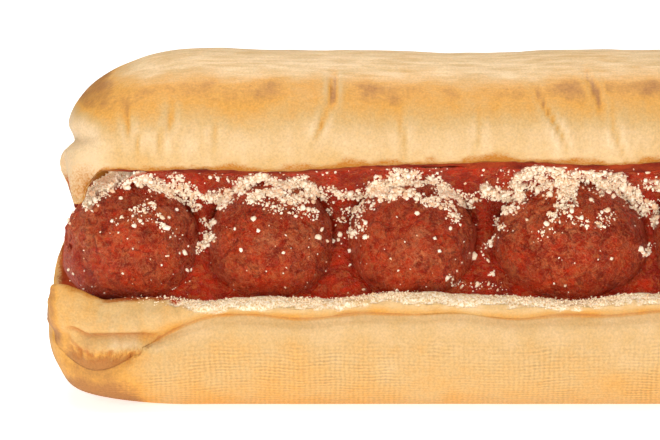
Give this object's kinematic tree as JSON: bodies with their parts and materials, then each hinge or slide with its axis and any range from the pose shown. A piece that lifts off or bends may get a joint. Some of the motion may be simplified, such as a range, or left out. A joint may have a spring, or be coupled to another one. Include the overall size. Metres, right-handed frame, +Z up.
{
  "type": "meatball submarine sandwich",
  "caption": "Long soft roll, slit along one side and hinged at the back, filled with a row of meatballs in tomato sauce under grated cheese.",
  "frame": {"origin": "on the surface the sandwich stands on, in the middle of its footprint", "axes": "+X along the roll, -Y towards the open slit, +Z up"},
  "size_m": [0.3002, 0.0682, 0.0873],
  "materials": {
    "bread": "soft baked crust, satin, with a pale open crumb at the cut edges",
    "meatball": "coarse browned meat, wet with sauce",
    "sauce": "wet tomato sauce",
    "cheese": "dry grated hard cheese"
  },
  "bodies": {
    "root": {"roll": "bread", "sauce": "sauce", "meatball_1": "meatball", "meatball_2": "meatball", "meatball_3": "meatball", "meatball_4": "meatball", "meatball_5": "meatball", "meatball_6": "meatball", "meatball_7": "meatball", "meatball_8": "meatball"}
  },
  "joints": []
}
